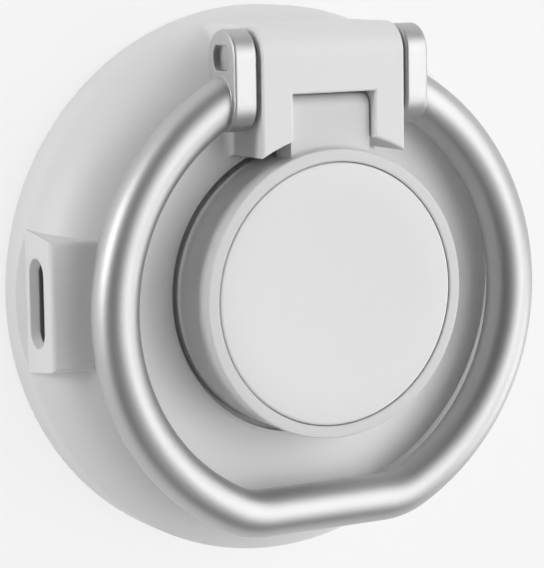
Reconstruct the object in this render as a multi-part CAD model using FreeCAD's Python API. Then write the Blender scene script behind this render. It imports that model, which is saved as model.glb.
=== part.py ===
import FreeCAD, Part
import math
import os

# Folding wireless charging stand, in millimetres.
# It lies on its phone face: +Z is up, out of the back. The origin is the centre of the phone face.
# +Y runs to the hinge block and the socket for the lead faces -X.

# Round body
BODY_R = 29.0            # straight band of the drum
WALL = 1.5               # moulded wall
FOOT_Z = 0.5             # lower edge of the band
FOOT_ROUND = 0.4
BAND_TOP_Z = 4.4         # top of the straight band
SHOULDER_R = 2.5         # tight turn above the band
SHOULDER_TURN = 20.0     # degrees that the tight turn takes
DOME_R = 11.0            # long curve from the shoulder to the crown

# Floor between the watch pad and the ring
FLOOR_Z = 11.3           # floor at the edge of the recess
LIP_INSET = 6.6          # from the body's edge in to the rim of the shallow bowl
RECESS_GAP = 0.7         # round the watch pad
RECESS_DEPTH = 1.7

# Hinge block, an upside-down U with one leg each side of the watch arm
BLOCK_HALF = 8.25
BLOCK_HEIGHT = 6.9       # of the block's face above the floor
BLOCK_INSET = 0.385      # from the body's edge in to the block's upper corners
BLOCK_EDGE = 0.25
BLOCK_BLEND = 0.9        # hollow rounding where the block meets the body
LEG_SET_BACK = 0.95      # from the edge of the recess to the ends of the legs
NOTCH_GAP = 0.2          # round the knuckle of the watch arm
NOTCH_SIDE_GAP = 0.18

# Stand ring
RING_AXIS_INSET = 3.15   # from the block's top in to the hinge axis of the ring
RING_AXIS_DEPTH = 3.05   # hinge axis below the block's face
RING_INSET = 5.6         # from the body's edge in to the centre line of the tube
RING_CENTRE_Y = -0.8
RING_FLAT_INSET = 6.5    # straight stretch at the foot
RING_CORNER_R = 8.0
RING_TUBE_R = 2.45
RING_TUBE_DROP = 0.3     # centre line of the tube below the hinge axis
EAR_GAP = 0.45           # between the block and each ear
EAR_THICK = 2.55
EAR_R = 2.85
EAR_LENGTH = 4.55        # between the ear's two round ends
EAR_EDGE = 0.3
EAR_HOLE_R = 1.7         # round part of the two-flat hole
EAR_FLAT_HALF = 1.25     # from the axis to each flat
EAR_HOLE_PLAY = 0.02

# Friction hinge of the ring
SHAFT_R = 1.5
SHAFT_RECESS = 0.5       # shaft end below the ear's outer face
SHAFT_NECK_R = 1.0
SHAFT_END_X = 1.2
SLEEVE_R = 2.1
RUNNING_PLAY = 0.03
HINGE_POCKET_HALF = 2.7
WASHER_THICK = 0.3
WASHER_R = 1.95
CLIP_THICK = 0.4
CLIP_GROOVE_R = 0.8
CLIP_R = 1.75
CLIP_MOUTH = 1.28

# Watch pad and its arm
CHANNEL = 6.15           # between the pad and the ring's tube
PAD_DRAFT = 0.2          # the side wall narrows by this much towards its back
PAD_FOOT_GAP = 0.3       # between the pad's back and the bottom of the recess
RIM_RISE = 0.1           # of the pad's rim above the block's face
RIM_WIDTH = 1.25
RIM_EDGE = 0.55
DISH_PLAY = 0.08
DISH_RISE = 0.1          # of the dish above the rim
DISH_THICK = 1.2
DISH_LAND = 0.7          # flat border of the dish
DISH_DEPTH = 0.45
LEDGE_WIDTH = 0.6
PAD_COVER_THICK = 1.0
PAD_POST_R = 1.2
PAD_POST_INSET = 1.6
ARM_HALF = 4.6
ARM_REACH = 4.0          # from the pad's edge to the hinge axis of the arm
ARM_AXIS_DEPTH = 2.45    # hinge axis below the block's face
ARM_HALF_THICK = 1.5     # also the round of its knuckle
ARM_BLEND = 0.4
PIN_R = 0.75
PIN_RECESS = 0.1

# Inside the watch pad
PAD_COIL_THICK = 1.3
PAD_COIL_MARGIN = 0.75
PAD_FERRITE_THICK = 0.9
PAD_HOLDER_WIDTH = 4.8
PAD_BOARD_THICK = 0.8
PAD_CHIP_GAP = 0.8       # between the chips and the cover
PAD_MAGNET_R = 4.2
PAD_MAGNET_GAP = 1.2
PAD_PART_PLAY = 0.15

# Socket for the lead
PORT_MARGIN = 2.08       # of the raised bed past the socket
PORT_CORNER = 0.21       # of the flat past the bed, where it runs out into the round band
PORT_TOP_Z = 10.45
PORT_RISE = 0.75         # the bed's top rises this much towards the ring
PORT_EDGE = 0.5
PORT_FLARE = 0.8         # the bed's sides widen by this much down to the band
PORT_WALL = 1.2
PORT_SLOPE = 1.0         # height of the slope that runs the flat out into the band
SOCKET_WIDTH = 8.94
SOCKET_HEIGHT = 3.26
SOCKET_WALL = 0.3
SOCKET_LENGTH = 7.4
SOCKET_SET_BACK = 0.2
SOCKET_PLAY = 0.15
TONGUE_SIDE = 1.12
TONGUE_THICK = 0.7
TONGUE_SET_BACK = 0.9
TONGUE_ROOT = 1.6
CONTACT_COUNT = 12
CONTACT_PITCH = 0.5
CONTACT_WIDTH = 0.26
CONTACT_THICK = 0.05
CONTACT_LENGTH = 3.4

# Phone side, from the face up
FACE_PAD_INSET = 2.4
FACE_PAD_THICK = 0.6
FACE_PAD_ROUND = 0.3
COVER_THICK = 1.0
COVER_PLAY = 0.08
LUG_COUNT = 6
LUG_SPAN = 16.0          # degrees
LUG_WIDTH = 0.9
LUG_HEIGHT = 1.2
HOOK_REACH = 0.3
HOOK_HEIGHT = 0.5
MAGNET_COUNT = 16
MAGNET_SPLIT = 2.0       # degrees between neighbours
MAGNET_MARGIN = 1.3      # to the moulded wall
MAGNET_WIDTH = 3.2
MAGNET_THICK = 1.7
YOKE_THICK = 0.4
COIL_THICK = 1.1
COIL_WIDTH = 11.0
COIL_MARGIN = 0.8        # of the ferrite past the coil
FERRITE_MARGIN = 1.0     # between the ferrite and the magnets
FERRITE_THICK = 0.6
CARRIER_WEB = 1.0
CARRIER_HOLE_R = 4.0
HEAT_SHEET_MARGIN = 2.5
HEAT_SHEET_THICK = 0.2
BOARD_INSET = 6.6
BOARD_THICK = 0.8
BOARD_TAB_PLAY = 0.15
SCREW_INSET = 2.9        # from the board's edge
SCREW_COUNT = 4
SCREW_R = 0.8
SCREW_HEAD_R = 1.4
SCREW_HEAD_THICK = 0.9
SCREW_SLOT = 0.4
SCREW_DEPTH = 3.2        # how far each pilot hole runs into its boss
SCREW_TIP_GAP = 0.3
SCREW_PLAY = 0.15
BOSS_R = 1.7
INDUCTOR_SIDE = 6.0
INDUCTOR_HEIGHT = 2.5
CHIP_SIDE = 5.0
CHIP_HEIGHT = 0.9
CAPACITOR_LENGTH = 2.0
CAPACITOR_WIDTH = 1.2
CAPACITOR_HEIGHT = 1.0
SMALL_CHIP_SIDE = 2.0

# Places of the components, as shares of the screw circle or of the watch pad's room
INDUCTOR_SPOTS = [(0, 0.6), (0.6, 0)]
CHIP_SPOTS = [(0, 0), (-0.45, 0), (0, -0.55)]
CAPACITOR_SPOTS = [(-0.55, -0.36), (-0.45, -0.36), (-0.35, -0.36), (0.35, -0.36), (0.45, -0.36), (0.55, -0.36)]
WATCH_CHIP_SPOTS = [(0.42, 0.24), (-0.42, 0.24), (0, -0.48)]

# Worked out from the sizes above
LIP_R = BODY_R - LIP_INSET
BLOCK_FACE_Z = FLOOR_Z + BLOCK_HEIGHT
DOME_CENTRE_R = BODY_R - SHOULDER_R - (DOME_R - SHOULDER_R) * math.cos(math.radians(SHOULDER_TURN))
DOME_CENTRE_Z = BAND_TOP_Z - (DOME_R - SHOULDER_R) * math.sin(math.radians(SHOULDER_TURN))
LIP_Z = DOME_CENTRE_Z + math.sqrt(DOME_R ** 2 - (LIP_R - DOME_CENTRE_R) ** 2)
BLOCK_TOP_Y = math.sqrt((BODY_R - BLOCK_INSET) ** 2 - BLOCK_HALF ** 2)
RING_AXIS_Y = BLOCK_TOP_Y - RING_AXIS_INSET
RING_AXIS_Z = BLOCK_FACE_Z - RING_AXIS_DEPTH
RING_R = BODY_R - RING_INSET
RING_FLAT_Y = RING_FLAT_INSET - BODY_R
RING_TUBE_Z = RING_AXIS_Z - RING_TUBE_DROP
PAD_R = RING_R - RING_TUBE_R - CHANNEL
ARM_AXIS_Y = PAD_R + ARM_REACH
ARM_AXIS_Z = BLOCK_FACE_Z - ARM_AXIS_DEPTH
NOTCH_HALF = ARM_HALF + NOTCH_SIDE_GAP
NOTCH_TOP_Y = ARM_AXIS_Y + ARM_HALF_THICK + NOTCH_GAP
RECESS_R = PAD_R + RECESS_GAP
RECESS_Z = FLOOR_Z - RECESS_DEPTH
PAD_BACK_Z = RECESS_Z + PAD_FOOT_GAP
RIM_Z = BLOCK_FACE_Z + RIM_RISE
DISH_Z = RIM_Z + DISH_RISE
PORT_HALF = SOCKET_WIDTH / 2 + PORT_MARGIN
PORT_FACE_X = -math.sqrt(BODY_R ** 2 - (PORT_HALF + PORT_CORNER) ** 2)
PORT_ROOM_HALF = PORT_HALF - PORT_WALL
BOARD_TAB_HALF = PORT_ROOM_HALF - BOARD_TAB_PLAY
TONGUE_WIDTH = SOCKET_WIDTH - 2 * TONGUE_SIDE
COVER_R = BODY_R - WALL - COVER_PLAY
MAGNET_OUT_R = BODY_R - WALL - MAGNET_MARGIN
MAGNET_IN_R = MAGNET_OUT_R - MAGNET_WIDTH
FERRITE_R = MAGNET_IN_R - FERRITE_MARGIN
COIL_OUT_R = FERRITE_R - COIL_MARGIN
COIL_IN_R = COIL_OUT_R - COIL_WIDTH
BOARD_R = BODY_R - BOARD_INSET
SCREW_CIRCLE_R = BOARD_R - SCREW_INSET
HEAT_SHEET_R = SCREW_CIRCLE_R - HEAT_SHEET_MARGIN
COVER_BACK_Z = FACE_PAD_THICK + COVER_THICK
YOKE_Z = COVER_BACK_Z + MAGNET_THICK
FERRITE_Z = COVER_BACK_Z + COIL_THICK
WEB_Z = FERRITE_Z + FERRITE_THICK
WEB_TOP_Z = WEB_Z + CARRIER_WEB
BOARD_Z = WEB_TOP_Z + HEAT_SHEET_THICK
BOARD_TOP_Z = BOARD_Z + BOARD_THICK
CEILING_Z = FLOOR_Z - WALL
SOCKET_Z = BOARD_TOP_Z + SOCKET_HEIGHT / 2
SOCKET_FRONT_X = PORT_FACE_X + SOCKET_SET_BACK
SOCKET_BACK_X = SOCKET_FRONT_X + SOCKET_LENGTH
EAR_IN_X = BLOCK_HALF + EAR_GAP
EAR_OUT_X = EAR_IN_X + EAR_THICK
DISH_R = PAD_R - RIM_WIDTH - DISH_PLAY
DISH_BACK_Z = DISH_Z - DISH_THICK
PAD_ROOM_R = PAD_R - RIM_WIDTH - LEDGE_WIDTH
PAD_PART_R = PAD_ROOM_R - PAD_PART_PLAY
PAD_COVER_Z = PAD_BACK_Z + PAD_COVER_THICK
PAD_FERRITE_Z = DISH_BACK_Z - PAD_COIL_THICK - PAD_FERRITE_THICK
PAD_BOARD_Z = PAD_COVER_Z + PAD_CHIP_GAP + CHIP_HEIGHT
PAD_HOLDER_Z = PAD_BOARD_Z + PAD_BOARD_THICK
BIG = 2 * BODY_R


def at(x, y, z):
    return FreeCAD.Vector(x, y, z)


def drum(radius, low, high, x=0.0, y=0.0):
    return Part.makeCylinder(radius, high - low, at(x, y, low))


def hoop(inner, outer, low, high):
    return drum(outer, low, high).cut(drum(inner, low, high))


def brick(x_low, x_high, y_low, y_high, z_low, z_high):
    return Part.makeBox(x_high - x_low, y_high - y_low, z_high - z_low, at(x_low, y_low, z_low))


def rod(radius, x_low, x_high, y, z):
    """A cylinder along X."""
    return Part.makeCylinder(radius, x_high - x_low, at(x_low, y, z), at(1, 0, 0))


def line(start, end):
    return Part.LineSegment(start, end).toShape()


def curve(start, middle, end):
    return Part.Arc(start, middle, end).toShape()


def face_of(edges):
    return Part.Face(Part.Wire(edges))


def polygon(points):
    return Part.Face(Part.makePolygon(points + points[:1]))


def turned(face, y=0.0):
    """A solid turned about the vertical line at x = 0 and the given y."""
    return face.revolve(at(0, y, 0), at(0, 0, 1), 360)


def sector(inner, outer, low, high, middle, span):
    """A piece of a hoop, centred on an angle in degrees."""
    face = polygon([at(inner, 0, low), at(outer, 0, low), at(outer, 0, high), at(inner, 0, high)])
    piece = face.revolve(at(0, 0, 0), at(0, 0, 1), span)
    piece.rotate(at(0, 0, 0), at(0, 0, 1), middle - span / 2)
    return piece


def soften(shape, radius, wanted):
    """Round the edges that a test picks out."""
    edges = [edge for edge in shape.Edges if wanted(edge)]
    return shape.makeFillet(radius, edges) if edges else shape


def near(value, target, slack=0.01):
    return abs(value - target) < slack


def flat_at(edge, axis, value, slack=0.01):
    """True if the whole edge lies in the plane where one coordinate has this value."""
    box = edge.BoundBox
    low, high = {"x": (box.XMin, box.XMax), "y": (box.YMin, box.YMax), "z": (box.ZMin, box.ZMax)}[axis]
    return near(low, value, slack) and near(high, value, slack)


def flat_either_side(edge, axis, value, slack=0.01):
    """As flat_at, on one side of the middle or on the other."""
    return flat_at(edge, axis, value, slack) or flat_at(edge, axis, -value, slack)


def group(solids):
    return Part.makeCompound(solids)


def mirrored(shape):
    return shape.mirror(at(0, 0, 0), at(1, 0, 0))


def save(name, shape):
    solids = shape.Solids
    result = solids[0] if len(solids) == 1 else group(solids)
    result.exportStep("parts/" + name + ".step")
    print(name, len(solids), "solids", round(sum(solid.Volume for solid in solids), 2), result.isValid())


def dome(inset, foot_z):
    """The body's outside turned solid, or its inside when it is set in by the wall."""
    turn = math.radians(SHOULDER_TURN)
    shoulder = (BODY_R - SHOULDER_R, BAND_TOP_Z)
    long_centre = (DOME_CENTRE_R, DOME_CENTRE_Z)

    def on(centre, radius, angle):
        return at(centre[0] + radius * math.cos(angle), 0, centre[1] + radius * math.sin(angle))

    band = at(BODY_R - inset, 0, BAND_TOP_Z)
    tight = on(shoulder, SHOULDER_R - inset, turn)
    crown = on(long_centre, DOME_R - inset, math.pi / 2)
    foot = at(BODY_R - inset, 0, foot_z)
    edges = [
        line(at(0, 0, foot_z), foot),
        line(foot, band),
        curve(band, on(shoulder, SHOULDER_R - inset, turn / 2), tight),
        curve(tight, on(long_centre, DOME_R - inset, (turn + math.pi / 2) / 2), crown),
        line(crown, at(0, 0, crown.z)),
        line(at(0, 0, crown.z), at(0, 0, foot_z)),
    ]
    return turned(face_of(edges))


def bowl():
    """All that is above the shallow floor, inside its lip."""
    inner = at(RECESS_R, 0, FLOOR_Z)
    outer = at(LIP_R, 0, LIP_Z)
    middle = at((RECESS_R + LIP_R) / 2, 0, FLOOR_Z + (LIP_Z - FLOOR_Z) / 4)
    edges = [
        line(at(0, 0, FLOOR_Z), inner),
        curve(inner, middle, outer),
        line(outer, at(LIP_R, 0, BIG)),
        line(at(LIP_R, 0, BIG), at(0, 0, BIG)),
        line(at(0, 0, BIG), at(0, 0, FLOOR_Z)),
    ]
    return turned(face_of(edges))


def hinge_block():
    """The U-shaped block, with its front round about the ring's axis."""
    round_y = BLOCK_TOP_Y - RING_AXIS_Y
    round_z = BLOCK_FACE_Z - RING_AXIS_Z
    slant = math.sqrt(0.5)
    low_z = BAND_TOP_Z
    start = at(-BLOCK_HALF, 0, low_z)
    top = at(-BLOCK_HALF, BLOCK_TOP_Y, RING_AXIS_Z)
    front = at(-BLOCK_HALF, RING_AXIS_Y, BLOCK_FACE_Z)
    edges = [
        line(start, at(-BLOCK_HALF, BLOCK_TOP_Y, low_z)),
        line(at(-BLOCK_HALF, BLOCK_TOP_Y, low_z), top),
        curve(top, at(-BLOCK_HALF, RING_AXIS_Y + round_y * slant, RING_AXIS_Z + round_z * slant), front),
        line(front, at(-BLOCK_HALF, 0, BLOCK_FACE_Z)),
        line(at(-BLOCK_HALF, 0, BLOCK_FACE_Z), start),
    ]
    solid = face_of(edges).extrude(at(2 * BLOCK_HALF, 0, 0))
    solid = solid.cut([
        brick(-NOTCH_HALF, NOTCH_HALF, 0, NOTCH_TOP_Y, low_z, BIG),
        drum(RECESS_R + LEG_SET_BACK, low_z, BIG),
    ])

    def rim(edge):
        box = edge.BoundBox
        side = flat_either_side(edge, "x", BLOCK_HALF) and box.YMax > ARM_AXIS_Y
        front_face = flat_at(edge, "z", BLOCK_FACE_Z) and not flat_at(edge, "y", RING_AXIS_Y)
        return (side and box.ZMax > RING_AXIS_Z - BLOCK_EDGE) or front_face

    return soften(solid, BLOCK_EDGE, rim)


def port_bed():
    """The raised bed round the socket, rising a little from the flat towards the ring."""
    top_end_z = PORT_TOP_Z + PORT_RISE
    flare = PORT_FLARE * (top_end_z - BAND_TOP_Z) / (PORT_TOP_Z - BAND_TOP_Z)

    def section(x, top_z, spread):
        return Part.makePolygon([
            at(x, -PORT_HALF - PORT_FLARE, BAND_TOP_Z),
            at(x, spread - PORT_HALF - PORT_FLARE, top_z),
            at(x, PORT_HALF + PORT_FLARE - spread, top_z),
            at(x, PORT_HALF + PORT_FLARE, BAND_TOP_Z),
            at(x, -PORT_HALF - PORT_FLARE, BAND_TOP_Z),
        ])

    solid = Part.makeLoft([section(PORT_FACE_X, PORT_TOP_Z, PORT_FLARE), section(-LIP_R, top_end_z, flare)], True, True)

    def rim(edge):
        box = edge.BoundBox
        return box.ZMin > PORT_TOP_Z - PORT_EDGE and not flat_at(edge, "x", -LIP_R)

    return soften(solid, PORT_EDGE, rim)


def port_flat():
    """What the flat of the port takes off the round band, ending in a short slope."""
    outer_x = 2 * PORT_FACE_X + LIP_R
    half = PORT_HALF + PORT_FLARE
    slope = PORT_SLOPE * (PORT_FACE_X - outer_x) / (BODY_R + PORT_FACE_X)
    face = polygon([
        at(PORT_FACE_X, -half, BAND_TOP_Z),
        at(PORT_FACE_X, -half, BIG),
        at(outer_x, -half, BIG),
        at(outer_x, -half, BAND_TOP_Z - slope),
    ])
    return face.extrude(at(0, 2 * half, 0))


def slot_x(width, height, x_low, x_high, z):
    """A bar along X with the round-ended section of the socket, wide along Y."""
    radius = height / 2
    half = width / 2 - radius
    bar = brick(x_low, x_high, -half, half, z - radius, z + radius)
    return bar.fuse([rod(radius, x_low, x_high, -half, z), rod(radius, x_low, x_high, half, z)]).removeSplitter()


def screw_spots():
    step = 2 * math.pi / SCREW_COUNT
    angles = [step * (index + 0.5) for index in range(SCREW_COUNT)]
    return [(SCREW_CIRCLE_R * math.cos(angle), SCREW_CIRCLE_R * math.sin(angle)) for angle in angles]


def lug_angles():
    return [360.0 / LUG_COUNT * (index + 0.5) for index in range(LUG_COUNT)]


def outer_shell():
    """The body with its hinge block, which has rounded hollow corners, and the bed of the port."""
    body = dome(0, FOOT_Z).cut(bowl())
    body = body.fuse([hinge_block(), port_bed()]).cut(port_flat()).removeSplitter()

    def block_foot(edge):
        box = edge.BoundBox
        side = flat_either_side(edge, "x", BLOCK_HALF, 0.02)
        crown = flat_at(edge, "y", BLOCK_TOP_Y, 0.02)
        low = box.ZMax < LIP_Z + WALL and box.ZMin > BAND_TOP_Z
        return low and (side or crown) and box.YMax > NOTCH_HALF

    return soften(body, BLOCK_BLEND, block_foot)


def rear_housing():
    body = outer_shell().cut(drum(RECESS_R, RECESS_Z, FLOOR_Z))
    room = dome(WALL, 0).common(drum(BODY_R, 0, CEILING_Z))
    room = room.cut(drum(RECESS_R + WALL, RECESS_Z - WALL, BIG))
    pocket = brick(-HINGE_POCKET_HALF, HINGE_POCKET_HALF, RING_AXIS_Y - SLEEVE_R, RING_AXIS_Y + SLEEVE_R,
                   BAND_TOP_Z, RING_AXIS_Z + SLEEVE_R)
    port_room = brick(PORT_FACE_X + PORT_WALL, -BOARD_R, -PORT_ROOM_HALF, PORT_ROOM_HALF,
                      BOARD_Z, PORT_TOP_Z - PORT_WALL)
    mouth = slot_x(SOCKET_WIDTH + 2 * SOCKET_PLAY, SOCKET_HEIGHT + 2 * SOCKET_PLAY,
                   PORT_FACE_X - PORT_WALL, PORT_FACE_X + 2 * PORT_WALL, SOCKET_Z)
    hook_low = COVER_BACK_Z + LUG_HEIGHT - HOOK_HEIGHT - COVER_PLAY
    groove = hoop(COVER_R, BODY_R - WALL + HOOK_REACH + COVER_PLAY, hook_low,
                  COVER_BACK_Z + LUG_HEIGHT + COVER_PLAY)
    body = body.cut([room, pocket, port_room, mouth, groove])

    bosses = [drum(BOSS_R, BOARD_TOP_Z, CEILING_Z + WALL / 2, x, y) for x, y in screw_spots()]
    body = body.fuse(bosses)
    pilots = [drum(SCREW_R + COVER_PLAY / 2, 0, BOARD_TOP_Z + SCREW_DEPTH, x, y) for x, y in screw_spots()]
    bores = [rod(SLEEVE_R, -BLOCK_HALF - WALL, BLOCK_HALF + WALL, RING_AXIS_Y, RING_AXIS_Z),
             rod(PIN_R, -BLOCK_HALF - WALL, BLOCK_HALF + WALL, ARM_AXIS_Y, ARM_AXIS_Z)]
    body = body.cut(pilots + bores)

    def foot(edge):
        return flat_at(edge, "z", FOOT_Z) and near(edge.BoundBox.XMax, BODY_R)

    return soften(body, FOOT_ROUND, foot)


def phone_face_cover():
    plate = drum(COVER_R, FACE_PAD_THICK, COVER_BACK_Z)
    top = COVER_BACK_Z + LUG_HEIGHT
    lugs = []
    for angle in lug_angles():
        lugs.append(sector(COVER_R - LUG_WIDTH, COVER_R, FACE_PAD_THICK, top, angle, LUG_SPAN))
        lugs.append(sector(COVER_R - LUG_WIDTH, COVER_R + HOOK_REACH, top - HOOK_HEIGHT, top, angle, LUG_SPAN / 2))
    return plate.fuse(lugs).removeSplitter()


def phone_pad():
    pad = drum(BODY_R - FACE_PAD_INSET, 0, FACE_PAD_THICK)
    return soften(pad, FACE_PAD_ROUND, lambda edge: flat_at(edge, "z", 0))


def magnets():
    step = 360.0 / MAGNET_COUNT
    return group([sector(MAGNET_IN_R, MAGNET_OUT_R, COVER_BACK_Z, YOKE_Z, step * (index + 0.5), step - MAGNET_SPLIT)
                  for index in range(MAGNET_COUNT)])


def coil_carrier():
    web = drum(FERRITE_R, WEB_Z, WEB_TOP_Z)
    flange = hoop(FERRITE_R - FERRITE_MARGIN, MAGNET_OUT_R, YOKE_Z + YOKE_THICK, WEB_TOP_Z)
    holes = [drum(SCREW_HEAD_R + SCREW_PLAY, 0, BIG, x, y) for x, y in screw_spots()]
    return web.fuse(flange).cut(holes + [drum(CARRIER_HOLE_R, 0, BIG)]).removeSplitter()


def main_circuit_board():
    disc = drum(BOARD_R, BOARD_Z, BOARD_TOP_Z)
    tab = brick(SOCKET_FRONT_X + PORT_WALL, 0, -BOARD_TAB_HALF, BOARD_TAB_HALF, BOARD_Z, BOARD_TOP_Z)
    holes = [drum(SCREW_R + SCREW_PLAY, 0, BIG, x, y) for x, y in screw_spots()]
    return disc.fuse(tab).cut(holes).removeSplitter()


def chips_on_board(spots, length, width, height):
    chips = []
    for share_x, share_y in spots:
        x = share_x * SCREW_CIRCLE_R
        y = share_y * SCREW_CIRCLE_R
        chips.append(brick(x - length / 2, x + length / 2, y - width / 2, y + width / 2,
                           BOARD_TOP_Z, BOARD_TOP_Z + height))
    return chips


def power_inductors():
    blocks = chips_on_board(INDUCTOR_SPOTS, INDUCTOR_SIDE, INDUCTOR_SIDE, INDUCTOR_HEIGHT)

    def upright(edge):
        return edge.BoundBox.ZLength > INDUCTOR_HEIGHT / 2

    return group([soften(block, INDUCTOR_SIDE / 6, upright) for block in blocks])


def board_screws():
    screws = []
    for x, y in screw_spots():
        head = drum(SCREW_HEAD_R, BOARD_Z - SCREW_HEAD_THICK, BOARD_Z, x, y)
        slot = brick(x - SCREW_R, x + SCREW_R, y - SCREW_SLOT / 2, y + SCREW_SLOT / 2,
                     0, BOARD_Z - SCREW_HEAD_THICK / 2)
        shank = drum(SCREW_R, BOARD_Z - SCREW_HEAD_THICK / 3, BOARD_TOP_Z + SCREW_DEPTH - SCREW_TIP_GAP, x, y)
        screws.append(head.cut(slot).fuse(shank))
    return group(screws)


def socket_shell():
    outer = slot_x(SOCKET_WIDTH, SOCKET_HEIGHT, SOCKET_FRONT_X, SOCKET_BACK_X, SOCKET_Z)
    inner = slot_x(SOCKET_WIDTH - 2 * SOCKET_WALL, SOCKET_HEIGHT - 2 * SOCKET_WALL,
                   SOCKET_FRONT_X, SOCKET_BACK_X - SOCKET_WALL, SOCKET_Z)
    return outer.cut(inner)


def socket_tongue():
    back = SOCKET_BACK_X - SOCKET_WALL
    root = slot_x(SOCKET_WIDTH - 2 * SOCKET_WALL, SOCKET_HEIGHT - 2 * SOCKET_WALL, back - TONGUE_ROOT, back, SOCKET_Z)
    blade = brick(SOCKET_FRONT_X + TONGUE_SET_BACK, back, -TONGUE_WIDTH / 2, TONGUE_WIDTH / 2,
                  SOCKET_Z - TONGUE_THICK / 2, SOCKET_Z + TONGUE_THICK / 2)
    return root.fuse(blade).removeSplitter()


def socket_contacts():
    strips = []
    front = SOCKET_BACK_X - SOCKET_WALL - TONGUE_ROOT - CONTACT_LENGTH
    for side in (-1, 1):
        root_z = SOCKET_Z + side * TONGUE_THICK / 2
        low, high = sorted((root_z, root_z + side * CONTACT_THICK))
        for index in range(CONTACT_COUNT):
            y = (index - (CONTACT_COUNT - 1) / 2) * CONTACT_PITCH
            strips.append(brick(front, front + CONTACT_LENGTH, y - CONTACT_WIDTH / 2, y + CONTACT_WIDTH / 2, low, high))
    return group(strips)


def ring_path():
    """The tube's centre line: one long arc, two corner arcs and the straight foot."""
    corner_y = RING_FLAT_Y + RING_CORNER_R
    corner_x = math.sqrt((RING_R - RING_CORNER_R) ** 2 - (corner_y - RING_CENTRE_Y) ** 2)
    ear_x = (EAR_IN_X + EAR_OUT_X) / 2
    start = math.acos(ear_x / RING_R)
    join = math.atan2(corner_y - RING_CENTRE_Y, corner_x)

    def main(angle, side):
        return at(side * RING_R * math.cos(angle), RING_CENTRE_Y + RING_R * math.sin(angle), RING_TUBE_Z)

    def corner(angle, side):
        return at(side * (corner_x + RING_CORNER_R * math.cos(angle)), corner_y + RING_CORNER_R * math.sin(angle),
                  RING_TUBE_Z)

    down = -math.pi / 2
    edges = [
        curve(main(start, 1), main((start + join) / 2, 1), main(join, 1)),
        curve(main(join, 1), corner((join + down) / 2, 1), corner(down, 1)),
        line(corner(down, 1), corner(down, -1)),
        curve(corner(down, -1), corner((join + down) / 2, -1), main(join, -1)),
        curve(main(join, -1), main((start + join) / 2, -1), main(start, -1)),
    ]
    return Part.Wire(edges), main(start, 1), at(-math.sin(start), math.cos(start), 0)


def ear_hole(x_low, x_high, play):
    """The two-flat bar that keys each shaft to its ear."""
    bar = rod(EAR_HOLE_R + play, x_low, x_high, RING_AXIS_Y, RING_AXIS_Z)
    flat = EAR_FLAT_HALF + play
    return bar.common(brick(x_low, x_high, RING_AXIS_Y - flat, RING_AXIS_Y + flat, 0, BIG))


def ear():
    low_y = RING_AXIS_Y - EAR_LENGTH
    plate = brick(EAR_IN_X, EAR_OUT_X, low_y, RING_AXIS_Y, RING_AXIS_Z - EAR_R, RING_AXIS_Z + EAR_R)
    plate = plate.fuse([rod(EAR_R, EAR_IN_X, EAR_OUT_X, low_y, RING_AXIS_Z),
                        rod(EAR_R, EAR_IN_X, EAR_OUT_X, RING_AXIS_Y, RING_AXIS_Z)]).removeSplitter()

    def rim(edge):
        return flat_at(edge, "x", EAR_IN_X) or flat_at(edge, "x", EAR_OUT_X)

    return soften(plate, EAR_EDGE, rim)


def stand_ring():
    path, start, along = ring_path()
    section = Part.Wire([Part.Circle(start, along, RING_TUBE_R).toShape()])
    tube = path.makePipeShell([section], True, True)
    right = ear()
    ring = tube.fuse([right, mirrored(right)])
    hole = ear_hole(EAR_IN_X - EAR_GAP, EAR_OUT_X + EAR_GAP, EAR_HOLE_PLAY)
    return ring.cut([hole, mirrored(hole)])


def right_hinge_shaft():
    neck_end = HINGE_POCKET_HALF + RUNNING_PLAY
    neck = rod(SHAFT_NECK_R, SHAFT_END_X, neck_end, RING_AXIS_Y, RING_AXIS_Z)
    groove_x = HINGE_POCKET_HALF - 2 * WASHER_THICK - CLIP_THICK
    groove = rod(BIG, groove_x, groove_x + CLIP_THICK, RING_AXIS_Y, RING_AXIS_Z)
    groove = groove.cut(rod(CLIP_GROOVE_R, 0, BIG, RING_AXIS_Y, RING_AXIS_Z))
    body = rod(SHAFT_R, neck_end, EAR_IN_X, RING_AXIS_Y, RING_AXIS_Z)
    head = ear_hole(EAR_IN_X, EAR_OUT_X - SHAFT_RECESS, 0)
    return neck.cut(groove).fuse([body, head]).removeSplitter()


def hinge_sleeves():
    sleeve = rod(SLEEVE_R, HINGE_POCKET_HALF, BLOCK_HALF, RING_AXIS_Y, RING_AXIS_Z)
    sleeve = sleeve.cut(rod(SHAFT_R + RUNNING_PLAY, 0, BIG, RING_AXIS_Y, RING_AXIS_Z))
    return group([sleeve, mirrored(sleeve)])


def spring_washers():
    rings = []
    for index in range(2):
        high = HINGE_POCKET_HALF - RUNNING_PLAY - index * WASHER_THICK
        ring = rod(WASHER_R, high - WASHER_THICK, high, RING_AXIS_Y, RING_AXIS_Z)
        ring = ring.cut(rod(SHAFT_NECK_R + RUNNING_PLAY, 0, BIG, RING_AXIS_Y, RING_AXIS_Z))
        rings += [ring, mirrored(ring)]
    return group(rings)


def shaft_clips():
    """Open rings that snap into the shaft grooves."""
    high = HINGE_POCKET_HALF - 2 * WASHER_THICK - RUNNING_PLAY
    clip = rod(CLIP_R, high - CLIP_THICK + 2 * RUNNING_PLAY, high, RING_AXIS_Y, RING_AXIS_Z)
    clip = clip.cut(rod(CLIP_GROOVE_R + RUNNING_PLAY, 0, BIG, RING_AXIS_Y, RING_AXIS_Z))
    clip = clip.cut(brick(0, BIG, RING_AXIS_Y - CLIP_MOUTH / 2, RING_AXIS_Y + CLIP_MOUTH / 2, 0, RING_AXIS_Z))
    return group([clip, mirrored(clip)])


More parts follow.
